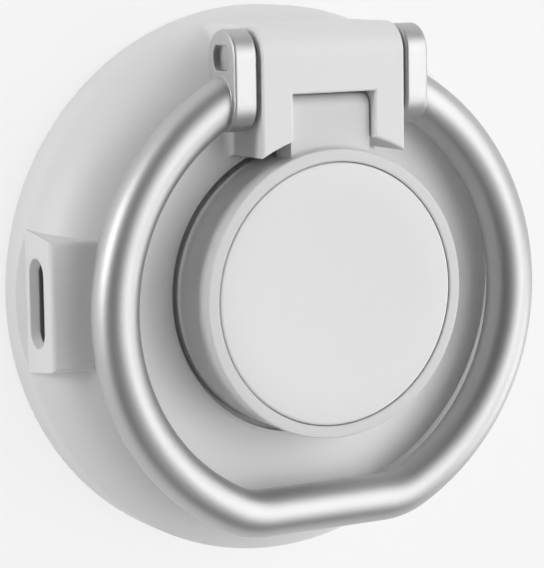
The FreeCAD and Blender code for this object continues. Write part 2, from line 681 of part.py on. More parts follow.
def watch_arm():
    back_r = PAD_R - PAD_DRAFT
    corner = RIM_EDGE * math.sqrt(0.5)
    edges = [
        line(at(0, 0, PAD_BACK_Z), at(back_r, 0, PAD_BACK_Z)),
        line(at(back_r, 0, PAD_BACK_Z), at(PAD_R, 0, RIM_Z - RIM_EDGE)),
        curve(at(PAD_R, 0, RIM_Z - RIM_EDGE),
              at(PAD_R - RIM_EDGE + corner, 0, RIM_Z - RIM_EDGE + corner),
              at(PAD_R - RIM_EDGE, 0, RIM_Z)),
        line(at(PAD_R - RIM_EDGE, 0, RIM_Z), at(0, 0, RIM_Z)),
        line(at(0, 0, RIM_Z), at(0, 0, PAD_BACK_Z)),
    ]
    cup = turned(face_of(edges))
    arm = brick(-ARM_HALF, ARM_HALF, PAD_ROOM_R, ARM_AXIS_Y,
                ARM_AXIS_Z - ARM_HALF_THICK, ARM_AXIS_Z + ARM_HALF_THICK)
    arm = arm.fuse(rod(ARM_HALF_THICK, -ARM_HALF, ARM_HALF, ARM_AXIS_Y, ARM_AXIS_Z)).removeSplitter()
    shape = cup.fuse(arm).removeSplitter()

    def seam(edge):
        return flat_at(edge, "z", ARM_AXIS_Z + ARM_HALF_THICK) and edge.BoundBox.YMax < PAD_R + ARM_BLEND

    shape = soften(shape, ARM_BLEND, seam)
    seat = drum(DISH_R + DISH_PLAY, DISH_BACK_Z, BIG)
    room = drum(PAD_ROOM_R, 0, DISH_BACK_Z)
    cover_seat = drum(DISH_R, 0, PAD_COVER_Z)
    pin_hole = rod(PIN_R + RUNNING_PLAY, -BIG, BIG, ARM_AXIS_Y, ARM_AXIS_Z)
    return shape.cut([seat, room, cover_seat, pin_hole])


def watch_dish():
    land = DISH_R - DISH_LAND
    sphere_r = (land ** 2 + DISH_DEPTH ** 2) / (2 * DISH_DEPTH)
    disc = drum(DISH_R, DISH_BACK_Z, DISH_Z)
    disc = soften(disc, DISH_DEPTH / 2, lambda edge: flat_at(edge, "z", DISH_Z) and near(edge.BoundBox.XMax, DISH_R))
    return disc.cut(Part.makeSphere(sphere_r, at(0, 0, DISH_Z - DISH_DEPTH + sphere_r)))


def watch_pin():
    length = BLOCK_HALF - PIN_RECESS
    return rod(PIN_R, -length, length, ARM_AXIS_Y, ARM_AXIS_Z)


def watch_base_cover():
    plate = drum(DISH_R - DISH_PLAY, PAD_BACK_Z, PAD_COVER_Z)
    post_circle_r = PAD_ROOM_R - PAD_POST_INSET
    posts = []
    for index in range(3):
        angle = math.radians(90 + 120 * index)
        posts.append(drum(PAD_POST_R, PAD_BACK_Z, PAD_BOARD_Z,
                          post_circle_r * math.cos(angle), post_circle_r * math.sin(angle)))
    return plate.fuse(posts).removeSplitter()


def watch_board_chips():
    low = PAD_BOARD_Z - CHIP_HEIGHT
    middle = SMALL_CHIP_SIDE
    chips = [brick(-middle, middle, -middle, middle, low, PAD_BOARD_Z)]
    for share_x, share_y in WATCH_CHIP_SPOTS:
        x = share_x * PAD_ROOM_R
        y = share_y * PAD_ROOM_R
        half = SMALL_CHIP_SIDE / 2
        chips.append(brick(x - half, x + half, y - half, y + half, low, PAD_BOARD_Z))
    return group(chips)


def build():
    os.makedirs("parts", exist_ok=True)
    save("rear_housing", rear_housing())
    save("phone_face_cover", phone_face_cover())
    save("phone_pad", phone_pad())
    save("phone_magnets", magnets())
    save("magnet_yoke", hoop(MAGNET_IN_R, MAGNET_OUT_R, YOKE_Z, YOKE_Z + YOKE_THICK))
    save("phone_coil", hoop(COIL_IN_R, COIL_OUT_R, COVER_BACK_Z, FERRITE_Z))
    save("phone_ferrite", drum(FERRITE_R, FERRITE_Z, WEB_Z))
    save("coil_carrier", coil_carrier())
    save("heat_sheet", hoop(CARRIER_HOLE_R, HEAT_SHEET_R, WEB_TOP_Z, BOARD_Z))
    save("main_circuit_board", main_circuit_board())
    save("power_inductors", power_inductors())
    save("control_chips", group(chips_on_board(CHIP_SPOTS, CHIP_SIDE, CHIP_SIDE, CHIP_HEIGHT)))
    save("capacitors", group(chips_on_board(CAPACITOR_SPOTS, CAPACITOR_WIDTH, CAPACITOR_LENGTH, CAPACITOR_HEIGHT)))
    save("board_screws", board_screws())
    save("socket_shell", socket_shell())
    save("socket_tongue", socket_tongue())
    save("socket_contacts", socket_contacts())
    save("stand_ring", stand_ring())
    shaft = right_hinge_shaft()
    save("right_hinge_shaft", shaft)
    save("left_hinge_shaft", mirrored(shaft))
    save("hinge_sleeves", hinge_sleeves())
    save("spring_washers", spring_washers())
    save("shaft_clips", shaft_clips())
    save("watch_arm", watch_arm())
    save("watch_dish", watch_dish())
    save("watch_coil", hoop(PAD_MAGNET_R + PAD_MAGNET_GAP, PAD_ROOM_R - PAD_COIL_MARGIN,
                            DISH_BACK_Z - PAD_COIL_THICK, DISH_BACK_Z))
    save("watch_ferrite", hoop(PAD_MAGNET_R + PAD_PART_PLAY, PAD_PART_R, PAD_FERRITE_Z,
                               DISH_BACK_Z - PAD_COIL_THICK))
    save("watch_magnet", drum(PAD_MAGNET_R, PAD_HOLDER_Z, DISH_BACK_Z))
    save("watch_coil_holder", hoop(PAD_PART_R - PAD_HOLDER_WIDTH, PAD_PART_R, PAD_HOLDER_Z, PAD_FERRITE_Z))
    save("watch_circuit_board", drum(PAD_PART_R, PAD_BOARD_Z, PAD_HOLDER_Z))
    save("watch_board_chips", watch_board_chips())
    save("watch_base_cover", watch_base_cover())
    save("watch_hinge_pin", watch_pin())


build()
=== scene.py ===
"""Dresses the folding wireless charging stand: finishes, finer and soft pieces, stage and camera."""

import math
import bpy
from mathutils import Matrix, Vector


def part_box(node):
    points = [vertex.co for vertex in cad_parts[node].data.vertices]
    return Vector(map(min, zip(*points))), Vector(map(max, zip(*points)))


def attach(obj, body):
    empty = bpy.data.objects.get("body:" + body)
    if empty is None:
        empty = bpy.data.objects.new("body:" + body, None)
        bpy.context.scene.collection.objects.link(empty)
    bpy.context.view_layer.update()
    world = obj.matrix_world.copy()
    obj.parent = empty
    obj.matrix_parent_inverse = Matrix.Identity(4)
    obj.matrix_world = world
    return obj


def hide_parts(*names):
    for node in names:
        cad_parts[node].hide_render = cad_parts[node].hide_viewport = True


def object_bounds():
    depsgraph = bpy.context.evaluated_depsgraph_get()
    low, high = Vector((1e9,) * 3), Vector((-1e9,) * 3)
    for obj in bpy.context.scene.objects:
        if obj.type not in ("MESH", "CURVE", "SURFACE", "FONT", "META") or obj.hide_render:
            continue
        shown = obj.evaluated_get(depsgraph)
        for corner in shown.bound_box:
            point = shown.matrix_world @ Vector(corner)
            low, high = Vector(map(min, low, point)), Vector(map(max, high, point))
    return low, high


bl_info = {
    "name": "Folding Charging Stand",
    "version": (1, 0, 0),
    "blender": (4, 5, 0),
    "location": "View3D > Sidebar > Charging Stand",
    "description": "Finishes, finer pieces and a studio stage for the folding wireless charging stand",
    "category": "Object",
}

import bpy
from bpy.props import FloatProperty, FloatVectorProperty, IntProperty, PointerProperty
from mathutils import Matrix, Vector

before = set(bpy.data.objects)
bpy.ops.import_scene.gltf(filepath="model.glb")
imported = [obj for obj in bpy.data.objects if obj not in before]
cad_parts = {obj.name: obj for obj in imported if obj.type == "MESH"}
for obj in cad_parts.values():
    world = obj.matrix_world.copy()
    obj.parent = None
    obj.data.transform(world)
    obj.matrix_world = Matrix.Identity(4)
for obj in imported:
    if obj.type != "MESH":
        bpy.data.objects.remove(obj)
CAD_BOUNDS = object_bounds()
DISH_LOW, DISH_HIGH = [Vector(corner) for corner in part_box("watch_dish")]
PAD_LOW, PAD_HIGH = [Vector(corner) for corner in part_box("phone_pad")]
ARM_LOW, ARM_HIGH = [Vector(corner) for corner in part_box("watch_arm")]
SOCKET_LOW, SOCKET_HIGH = [Vector(corner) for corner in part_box("socket_shell")]

MM = 0.001

# Modelling
SMOOTH_ANGLE = math.radians(40.0)    # sharper corners than this stay crisp in the shading
MERGE_DISTANCE = 1e-7
ROUND_STEPS = 5                      # steps in a quarter round
BOWL_RINGS = 14                      # rings in the hollow of the dish
SLOT_SEGMENTS = 64
FLOOR_SEGMENTS = 96
SUNK = 0.02 * MM                     # overlap that hides the seam between a trim and its solid
RIM_FOOT_SHARE = 0.6                 # width of the rim trim's hidden foot, as a share of its top
RIM_TUCK = 4.0                       # drop of the rim trim's inner edge, in times its rise above the solid
GROOVE_SHARES = 3                    # the flat ring inside the pad's groove takes one of these shares
STEEP = 0.7                          # share of a small corner or groove that its steep step takes

# Surfaces
MOTTLE_SCALE = 110.0                 # cloudiness of a surface, per metre
GRAIN_DETAIL = 3.0
MOTTLE_DETAIL = 2.0
BEVEL_SAMPLES = 6
RUB_GAIN = 6.0                       # how quickly an edge counts as rubbed

# Stage
PAPER_COLOUR = (0.85, 0.85, 0.85, 1.0)
LAMP_TARGET = Vector((0.0, 0.0, 0.01))
SENSOR_HEIGHT = 36.0                 # millimetres
CLIP_START = 0.01

SHELL_NODES = ("rear_housing", "phone_face_cover")
WATCH_PAD_NODES = ("watch_arm", "watch_base_cover")
STEEL_NODES = ("magnet_yoke", "board_screws", "right_hinge_shaft", "left_hinge_shaft", "hinge_sleeves",
               "spring_washers", "shaft_clips", "watch_hinge_pin")
BLACK_PLASTIC_NODES = ("coil_carrier", "control_chips", "socket_tongue", "watch_coil_holder",
                       "watch_board_chips")
FERRITE_NODES = ("phone_ferrite", "power_inductors", "watch_ferrite")
MAGNET_NODES = ("phone_magnets", "watch_magnet")
COIL_NODES = ("phone_coil", "watch_coil")
BOARD_NODES = ("main_circuit_board", "watch_circuit_board")
GOLD_NODES = ("socket_contacts",)

# Each lamp: where it hangs in metres, its width and height in metres, and its power in watts
LAMPS = (
    ("low_right_softbox", (0.715, -0.260, 0.257), (0.32, 0.32), 1.20),
    ("right_rear_softbox", (0.574, 0.332, 0.457), (0.38, 0.38), 1.28),
    ("rear_softbox", (0.332, 0.574, 0.457), (0.38, 0.38), 0.20),
    ("right_key_softbox", (0.493, 0.000, 0.640), (0.40, 0.40), 0.95),
    ("front_softbox", (-0.152, -0.468, 0.640), (0.40, 0.40), 0.29),
    ("right_front_softbox", (0.398, -0.290, 0.640), (0.40, 0.40), 0.66),
    ("high_right_rear_softbox", (0.398, 0.290, 0.640), (0.40, 0.40), 0.54),
    ("low_left_rear_strip", (-0.611, 0.512, 0.080), (0.28, 0.12), 0.33),
    ("low_left_strip", (-0.749, 0.273, 0.080), (0.28, 0.12), 1.56),
    ("low_left_side_strip", (-0.797, 0.000, 0.080), (0.28, 0.12), 0.59),
    ("overhead_right_softbox", (0.260, 0.000, 0.766), (0.44, 0.44), 0.55),
    ("overhead_front_softbox", (0.130, -0.226, 0.766), (0.44, 0.44), 0.44),
    ("overhead_rear_softbox", (0.130, 0.226, 0.766), (0.44, 0.44), 0.72),
)


def colour_property(label, description, default):
    return FloatVectorProperty(name=label, description=description, subtype="COLOR", size=3,
                               min=0.0, max=1.0, default=default)


def length_property(label, description, millimetres):
    return FloatProperty(name=label, description=description, subtype="DISTANCE", unit="LENGTH",
                         min=0.0, precision=5, default=millimetres * MM)


def share_property(label, description, default):
    return FloatProperty(name=label, description=description, subtype="FACTOR", min=0.0, max=1.0,
                         default=default)


def angle_property(label, description, degrees):
    return FloatProperty(name=label, description=description, subtype="ANGLE", unit="ROTATION",
                         default=math.radians(degrees))


class StandFinishes(bpy.types.PropertyGroup):
    """Colours and surface sizes of the stand."""

    shell_colour: colour_property("Shell colour", "White of the moulded shell", (0.80, 0.80, 0.805))
    shell_roughness: share_property("Shell roughness", "Satin of the moulded shell", 0.42)
    shell_grain: length_property("Shell grain", "Size of the spark-eroded grain on the shell", 0.22)
    # Painted shade: the watch pad's white is a darker copy of the shell's white, standing in for shade on
    # the pad.
    shaded_pad_colour: colour_property("Watch pad colour", "White of the watch pad's shell", (0.70, 0.70, 0.705))
    dish_colour: colour_property("Dish colour", "White of the watch dish", (0.80, 0.80, 0.80))
    dish_roughness: share_property("Dish roughness", "Satin of the watch dish", 0.38)
    ring_colour: colour_property("Ring colour", "Bead-blasted metal of the ring", (0.52, 0.52, 0.523))
    ring_roughness: share_property("Ring roughness", "Satin of the stand ring", 0.48)
    blast_grain: length_property("Blast grain", "Size of the dimples that blasting leaves", 0.14)
    steel_colour: colour_property("Steel colour", "Turned steel of the shafts and pin", (0.50, 0.495, 0.49))
    # Painted shade: the socket's steel is made dark so that the inside of the port reads as shade.
    shaded_socket_colour: colour_property("Socket colour", "Drawn steel of the socket", (0.28, 0.277, 0.274))
    silicone_colour: colour_property("Silicone colour", "Silicone of the phone face", (0.74, 0.74, 0.745))
    black_colour: colour_property("Black plastic colour", "Black plastic inside the stand",
                                  (0.012, 0.012, 0.013))
    copper_colour: colour_property("Copper colour", "Enamelled copper of the coils", (0.72, 0.30, 0.14))
    ferrite_colour: colour_property("Ferrite colour", "Ferrite behind the coils", (0.05, 0.048, 0.05))
    ceramic_colour: colour_property("Ceramic colour", "Ceramic of the capacitors", (0.42, 0.27, 0.14))
    sheet_colour: colour_property("Heat sheet colour", "Silicone of the heat sheet", (0.30, 0.42, 0.50))
    board_colour: colour_property("Board colour", "Solder mask of the circuit boards", (0.02, 0.14, 0.06))
    gold_colour: colour_property("Gold colour", "Plating of the contacts", (0.83, 0.60, 0.25))


class StandPieces(bpy.types.PropertyGroup):
    """Sizes of the pieces that are modelled here."""

    dish_edge: length_property("Dish edge", "Rounding of the watch dish's outer edge", 0.34)
    dish_land: length_property("Dish land", "Width of the flat border round the dish", 2.9)
    dish_depth: length_property("Dish depth", "How far the middle of the dish is hollowed", 0.45)
    rim_width: length_property("Rim width", "Flat rim of the watch pad round the dish", 1.17)
    rim_edge: length_property("Rim edge", "Rounding of the rim's outer edge", 0.2)
    rim_depth: length_property("Rim depth", "Height of the trim that squares the rim's edge", 0.9)
    rim_proud: length_property("Rim proud", "How far the trim stands proud of the moulding", 0.015)
    recess_gap: length_property("Recess gap", "Gap round the watch pad in the solid housing", 0.7)
    recess_trim: length_property("Recess trim", "How far the trim narrows that gap", 0.27)
    recess_depth: length_property("Recess depth", "Depth of the recess below the shallow floor", 1.7)
    recess_foot: length_property("Recess foot", "Gap between the watch pad's back and the recess", 0.3)
    pad_edge: length_property("Pad edge", "Rounding of the face pad's outer edge", 0.3)
    pad_groove_radius: length_property("Pad groove radius", "Radius of the groove in the face pad", 22.6)
    pad_groove_width: length_property("Pad groove width", "Width of the fine groove in the face pad", 0.5)
    pad_groove_depth: length_property("Pad groove depth", "Depth of the fine groove in the face pad", 0.2)
    socket_set_back: length_property("Socket set back", "Mouth of the shell, in from the solid one's", 0.7)
    socket_sunk: length_property("Socket sunk", "Reach of the lead-in out past the solid shell", 0.19)
    socket_play: length_property("Socket play", "Gap round the solid shell in its opening", 0.16)
    socket_flare: length_property("Socket flare", "How far the lead-in narrows towards the shell", 0.42)
    socket_wall: length_property("Socket wall", "Sheet thickness of the socket's shell", 0.3)
    socket_lip: length_property("Socket lip", "Rounding of the socket's mouth", 0.06)
    round_segments: IntProperty(name="Round segments", description="Segments of each turned piece",
                                min=32, max=512, default=192)


class StandStage(bpy.types.PropertyGroup):
    """Floor, lights and camera."""

    floor_radius: length_property("Floor radius", "Radius of the pale floor", 4000.0)
    backdrop_colour: colour_property("Backdrop colour", "Pale grey that the camera sees behind the stand",
                                     (0.95, 0.95, 0.95))
    world_colour: colour_property("Room colour", "Dim room round the lamps", (0.10, 0.10, 0.10))
    wall_colour: colour_property("Wall colour", "Pale foot of the room's walls", (0.86, 0.86, 0.86))
    wall_low: angle_property("Wall low", "Height where the pale foot of the walls begins to fade", 7.0)
    wall_high: angle_property("Wall high", "Height where the walls have faded to the dim room", 17.0)
    floor_shadow: share_property("Floor shadow", "How much of the stand's shadow the floor shows", 0.15)
    camera_turn: angle_property("Camera turn", "Turn of the view about the stand's Y axis", 28.98)
    camera_lift: angle_property("Camera lift", "Lift of the view towards the hinge", 7.97)
    camera_roll: angle_property("Camera roll", "Roll of the picture", -0.81)
    camera_place: FloatVectorProperty(name="Camera place", description="Where the camera stands", size=3,
                                      subtype="TRANSLATION", unit="LENGTH",
                                      default=(-0.13027, 0.03715, 0.23984))
    camera_lens: FloatProperty(name="Camera lens", description="Focal length in millimetres", min=10.0,
                               default=162.04)


# Node helpers

def add_node(tree, kind, **settings):
    node = tree.nodes.new(kind)
    for name, value in settings.items():
        setattr(node, name, value)
    return node


def link(tree, source, target):
    tree.links.new(source, target)


def math_node(tree, operation, first, second=None, clamp=False):
    node = add_node(tree, "ShaderNodeMath", operation=operation, use_clamp=clamp)
    for socket, value in zip(node.inputs, (first, second)):
        if value is None:
            continue
        if isinstance(value, (int, float)):
            socket.default_value = value
        else:
            link(tree, value, socket)
    return node.outputs[0]


def start_group(name, inputs, outputs):
    """Makes a shader node group and returns its tree with its input and output nodes."""
    tree = bpy.data.node_groups.new(name, "ShaderNodeTree")
    for label, kind, default in inputs:
        socket = tree.interface.new_socket(name=label, in_out="INPUT", socket_type=kind)
        socket.default_value = default
    for label, kind in outputs:
        tree.interface.new_socket(name=label, in_out="OUTPUT", socket_type=kind)
    return tree, tree.nodes.new("NodeGroupInput"), tree.nodes.new("NodeGroupOutput")


def tinted(tree, colour, amount):
    """The colour made lighter or darker by a value round 1."""
    node = add_node(tree, "ShaderNodeVectorMath", operation="SCALE")
    link(tree, colour, node.inputs[0])
    link(tree, amount, node.inputs["Scale"])
    return node.outputs[0]


def noise(tree, place, scale, detail, name):
    node = add_node(tree, "ShaderNodeTexNoise", name=name)
    node.inputs["Detail"].default_value = detail
    link(tree, place, node.inputs["Vector"])
    if isinstance(scale, (int, float)):
        node.inputs["Scale"].default_value = scale
    else:
        link(tree, scale, node.inputs["Scale"])
    return node.outputs["Fac"]


def surface_grain_group():
    """Fine grain, faint mottling and uneven gloss of moulded or blasted surfaces."""
    tree, given, result = start_group(
        "surface_grain",
        [("Colour", "NodeSocketColor", (0.8, 0.8, 0.8, 1.0)), ("Roughness", "NodeSocketFloat", 0.4),
         ("Grain Size", "NodeSocketFloat", 0.2 * MM), ("Grain Depth", "NodeSocketFloat", 0.5),
         ("Mottle", "NodeSocketFloat", 0.02), ("Gloss Spread", "NodeSocketFloat", 0.05)],
        [("Colour", "NodeSocketColor"), ("Roughness", "NodeSocketFloat"), ("Height", "NodeSocketFloat")])
    place = add_node(tree, "ShaderNodeTexCoord").outputs["Object"]
    grain_scale = math_node(tree, "DIVIDE", 1.0, given.outputs["Grain Size"])
    fine = noise(tree, place, grain_scale, GRAIN_DETAIL, "grain")
    broad = noise(tree, place, MOTTLE_SCALE, MOTTLE_DETAIL, "mottle")
    off = math_node(tree, "SUBTRACT", broad, 0.5)
    shade = math_node(tree, "ADD", 1.0, math_node(tree, "MULTIPLY", off, given.outputs["Mottle"]))
    grain_off = math_node(tree, "MULTIPLY", math_node(tree, "SUBTRACT", fine, 0.5), given.outputs["Mottle"])
    shade = math_node(tree, "ADD", shade, grain_off)
    link(tree, tinted(tree, given.outputs["Colour"], shade), result.inputs["Colour"])
    spread = math_node(tree, "MULTIPLY", off, given.outputs["Gloss Spread"])
    roughness = math_node(tree, "ADD", given.outputs["Roughness"], spread, clamp=True)
    link(tree, roughness, result.inputs["Roughness"])
    link(tree, math_node(tree, "MULTIPLY", fine, given.outputs["Grain Depth"]), result.inputs["Height"])
    return tree


def soft_edges_group():
    """Rounds the shading at sharp corners and gives a mask of the edges that hands rub."""
    tree, given, result = start_group(
        "soft_edges",
        [("Radius", "NodeSocketFloat", 0.2 * MM), ("Rub", "NodeSocketFloat", 0.5)],
        [("Normal", "NodeSocketVector"), ("Mask", "NodeSocketFloat")])
    bevel = add_node(tree, "ShaderNodeBevel", samples=BEVEL_SAMPLES)
    link(tree, given.outputs["Radius"], bevel.inputs["Radius"])
    geometry = add_node(tree, "ShaderNodeNewGeometry")
    dot = add_node(tree, "ShaderNodeVectorMath", operation="DOT_PRODUCT")
    link(tree, bevel.outputs[0], dot.inputs[0])
    link(tree, geometry.outputs["Normal"], dot.inputs[1])
    bent = math_node(tree, "SUBTRACT", 1.0, dot.outputs["Value"], clamp=True)
    rubbed = math_node(tree, "MULTIPLY", bent, RUB_GAIN, clamp=True)
    worn = math_node(tree, "MULTIPLY", rubbed, given.outputs["Rub"])
    link(tree, worn, result.inputs["Mask"])
    link(tree, bevel.outputs[0], result.inputs["Normal"])
    return tree


def turned_lines_group():
    """Fine concentric lines about the vertical axis, as on a lathe or a wound coil."""
    tree, given, result = start_group(
        "turned_lines",
        [("Pitch", "NodeSocketFloat", 0.3 * MM), ("Depth", "NodeSocketFloat", 0.5)],
        [("Height", "NodeSocketFloat"), ("Groove", "NodeSocketFloat")])
    place = add_node(tree, "ShaderNodeTexCoord").outputs["Object"]
    flat = add_node(tree, "ShaderNodeVectorMath", operation="MULTIPLY")
    flat.inputs[1].default_value = (1.0, 1.0, 0.0)
    link(tree, place, flat.inputs[0])
    length = add_node(tree, "ShaderNodeVectorMath", operation="LENGTH")
    link(tree, flat.outputs[0], length.inputs[0])
    lines_out = math_node(tree, "DIVIDE", length.outputs["Value"], given.outputs["Pitch"])
    turns = math_node(tree, "MULTIPLY", lines_out, 2.0 * math.pi)
    wave = math_node(tree, "COSINE", turns)
    groove = math_node(tree, "MULTIPLY", math_node(tree, "ADD", wave, 1.0), 0.5)
    link(tree, groove, result.inputs["Groove"])
    link(tree, math_node(tree, "MULTIPLY", groove, given.outputs["Depth"]), result.inputs["Height"])
    return tree


def shader_group(name):
    makers = {"surface_grain": surface_grain_group, "soft_edges": soft_edges_group,
              "turned_lines": turned_lines_group}
    return bpy.data.node_groups.get(name) or makers[name]()


def place_group(tree, name, **values):
    node = add_node(tree, "ShaderNodeGroup", node_tree=shader_group(name))
    for label, value in values.items():
        socket = node.inputs[label.replace("_", " ").title()]
        socket.default_value = (*value, 1.0) if hasattr(value, "__len__") and len(value) == 3 else value
    return node


def make_finish(name, colour, roughness, metallic=0.0, grain_size=0.2 * MM, grain_depth=0.4, mottle=0.02,
                gloss_spread=0.05, edge_radius=0.1 * MM, edge_rub=0.0, edge_lift=1.0, bump=0.1,
                specular=0.5, coat=0.0, line_pitch=0.0, line_depth=0.5, groove_painted_shade=0.0):
    """A surface of the shared groups: grain, soft edges with a rubbed tone, and lathe lines if asked, with
    painted shade in the lines' grooves.
    """
    material = bpy.data.materials.new(name)
    material.use_nodes = True
    tree = material.node_tree
    shader = tree.nodes["Principled BSDF"]
    shader.inputs["Metallic"].default_value = metallic
    shader.inputs["Specular IOR Level"].default_value = specular
    shader.inputs["Coat Weight"].default_value = coat
    grain = place_group(tree, "surface_grain", colour=tuple(colour), roughness=roughness,
                        grain_size=grain_size, grain_depth=grain_depth, mottle=mottle,
                        gloss_spread=gloss_spread)
    edges = place_group(tree, "soft_edges", radius=edge_radius, rub=edge_rub)
    rubbed = add_node(tree, "ShaderNodeMix", data_type="RGBA")
    link(tree, edges.outputs["Mask"], rubbed.inputs["Factor"])
    link(tree, grain.outputs["Colour"], rubbed.inputs["A"])
    rubbed.inputs["B"].default_value = tuple(min(1.0, channel * edge_lift) for channel in colour) + (1.0,)
    colour_out = rubbed.outputs["Result"]
    height = grain.outputs["Height"]
    if line_pitch:
        lines = place_group(tree, "turned_lines", pitch=line_pitch, depth=line_depth)
        height = math_node(tree, "ADD", height, lines.outputs["Height"])
        # Painted shade: the colour darkens in the grooves between the lines.
        painted_groove_shade = math_node(tree, "MULTIPLY", lines.outputs["Groove"], groove_painted_shade)
        shade = math_node(tree, "SUBTRACT", 1.0, painted_groove_shade)
        colour_out = tinted(tree, colour_out, shade)
    link(tree, colour_out, shader.inputs["Base Color"])
    link(tree, grain.outputs["Roughness"], shader.inputs["Roughness"])
    relief = add_node(tree, "ShaderNodeBump")
    relief.inputs["Strength"].default_value = bump
    relief.inputs["Distance"].default_value = grain_size
    link(tree, height, relief.inputs["Height"])
    link(tree, edges.outputs["Normal"], relief.inputs["Normal"])
    link(tree, relief.outputs["Normal"], shader.inputs["Normal"])
    return material


def wear_finish(nodes, material):
    for name in nodes:
        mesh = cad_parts[name].data
        mesh.materials.clear()
        mesh.materials.append(material)


# Modelling helpers

def deselect_all():
    if bpy.context.mode != "OBJECT":
        bpy.ops.object.mode_set(mode="OBJECT")
    bpy.ops.object.select_all(action="DESELECT")


def add_circle(name, segments, radius, place, fill, turn=(0, 0, 0)):
    deselect_all()
    bpy.ops.mesh.primitive_circle_add(vertices=segments, radius=radius, fill_type=fill, location=place,
                                      rotation=turn)
    circle = bpy.context.active_object
    circle.name = name
    bpy.ops.object.transform_apply(location=True, rotation=True, scale=True)
    return circle


def edit_all(kind):
    """Opens the active piece for editing with all its faces or edges selected."""
    bpy.ops.object.mode_set(mode="EDIT")
    bpy.ops.mesh.select_mode(type=kind)
    bpy.ops.mesh.select_all(action="SELECT")


def finish_mesh():
    """Points the faces outwards and shades the piece smooth."""
    bpy.ops.mesh.select_all(action="SELECT")
    bpy.ops.mesh.remove_doubles(threshold=MERGE_DISTANCE)
    bpy.ops.mesh.normals_make_consistent(inside=False)
    bpy.ops.object.mode_set(mode="OBJECT")
    bpy.ops.object.shade_smooth_by_angle(angle=SMOOTH_ANGLE)
    deselect_all()


def start_disc(name, radius, height, segments):
    """A filled circle lying at a height, ready to be drawn out and inset."""
    disc = add_circle(name, segments, radius, (0, 0, height), "NGON")
    edit_all("FACE")
    return disc


def along(axis, reach):
    """A move by a length along X, Y or Z."""
    move = [0.0, 0.0, 0.0]
    move[axis] = reach
    return move


def draw_out(reach, axis=2):
    bpy.ops.mesh.extrude_region_move(TRANSFORM_OT_translate={"value": along(axis, reach)})


def step_in(width, rise, axis=2):
    """Insets the selected face and lifts it."""
    bpy.ops.mesh.inset(thickness=width)
    if rise:
        bpy.ops.transform.translate(value=along(axis, rise))


def turn_ring(name, profile, segments):
    """A closed ring drawn from one circle to the next: profile holds the radius and height of each."""
    radius, height = profile[0]
    ring = add_circle(name, segments, radius, (0, 0, height), "NOTHING")
    edit_all("EDGE")
    for next_radius, next_height in profile[1:]:
        draw_out(next_height - height)
        share = next_radius / radius
        bpy.ops.transform.resize(value=(share, share, 1.0), center_override=(0, 0, next_height))
        radius, height = next_radius, next_height
    close_ring()
    return ring


def close_ring():
    """Joins the last outline of a ring to its first."""
    bpy.ops.mesh.select_all(action="DESELECT")
    bpy.ops.mesh.select_non_manifold()
    bpy.ops.mesh.bridge_edge_loops()
    finish_mesh()


def start_slot(name, place, radius, stretch, fill):
    """A circle across the X axis, pulled apart into a slot with round ends."""
    slot = add_circle(name, SLOT_SEGMENTS, radius, place, fill, turn=(0, math.pi / 2, 0))
    for side in (-1, 1):
        bpy.ops.object.mode_set(mode="EDIT")
        bpy.ops.mesh.select_mode(type="VERT")
        bpy.ops.mesh.select_all(action="DESELECT")
        bpy.ops.object.mode_set(mode="OBJECT")
        for vertex in slot.data.vertices:
            vertex.select = vertex.co.y * side > MERGE_DISTANCE
        bpy.ops.object.mode_set(mode="EDIT")
        bpy.ops.transform.translate(value=(0, side * stretch, 0))
        bpy.ops.object.mode_set(mode="OBJECT")
    return slot


def quarter_steps(radius):
    """Inward and upward steps that follow a quarter round from the side wall to the top."""
    steps = []
    for index in range(ROUND_STEPS):
        low = math.pi / 2 * index / ROUND_STEPS
        high = math.pi / 2 * (index + 1) / ROUND_STEPS
        steps.append((radius * (math.cos(low) - math.cos(high)), radius * (math.sin(high) - math.sin(low))))
    return steps


# Operators

class CHARGING_STAND_OT_finish_shell(bpy.types.Operator):
    """Gives the moulded shell its satin white, and the watch pad a darker copy of that white as painted
    shade
    """

    bl_idname = "charging_stand.finish_shell"
    bl_label = "Finish the Shell"

    def execute(self, context):
        looks = context.scene.stand_finishes
        # The second finish is the shell's white made darker for the watch pad: painted shade.
        for name, colour, nodes in (("satin_white_shell", looks.shell_colour, SHELL_NODES),
                                    ("shaded_white_watch_pad", looks.shaded_pad_colour, WATCH_PAD_NODES)):
            material = make_finish(name, colour, looks.shell_roughness, grain_size=looks.shell_grain,
                                   grain_depth=0.5, mottle=0.015, edge_radius=0.12 * MM, edge_rub=0.25,
                                   edge_lift=1.05, bump=0.06)
            wear_finish(nodes, material)
        return {"FINISHED"}


class CHARGING_STAND_OT_finish_metals(bpy.types.Operator):
    """Gives the ring, the shafts and the socket their metal"""

    bl_idname = "charging_stand.finish_metals"
    bl_label = "Finish the Metals"

    def execute(self, context):
        looks = context.scene.stand_finishes
        ring = make_finish("bead_blasted_ring", looks.ring_colour, looks.ring_roughness, metallic=1.0,
                           grain_size=looks.blast_grain, grain_depth=0.6, mottle=0.04, gloss_spread=0.06,
                           edge_radius=0.18 * MM, edge_rub=0.5, edge_lift=1.12, bump=0.10)
        steel = make_finish("turned_steel", looks.steel_colour, roughness=0.30, metallic=1.0,
                            grain_size=0.1 * MM, grain_depth=0.4, mottle=0.05, gloss_spread=0.12,
                            edge_radius=0.05 * MM, edge_rub=0.4, edge_lift=1.2, bump=0.08)
        gold = make_finish("plated_gold", looks.gold_colour, roughness=0.25, metallic=1.0,
                           grain_size=0.06 * MM, grain_depth=0.3, mottle=0.05, edge_radius=0.02 * MM,
                           bump=0.05)
        magnet = make_finish("nickel_magnet", looks.steel_colour, roughness=0.18, metallic=1.0,
                             grain_size=0.1 * MM, grain_depth=0.3, mottle=0.04, edge_radius=0.05 * MM,
                             bump=0.04)
        wear_finish(("stand_ring",), ring)
        wear_finish(STEEL_NODES, steel)
        wear_finish(GOLD_NODES, gold)
        wear_finish(MAGNET_NODES, magnet)
        return {"FINISHED"}


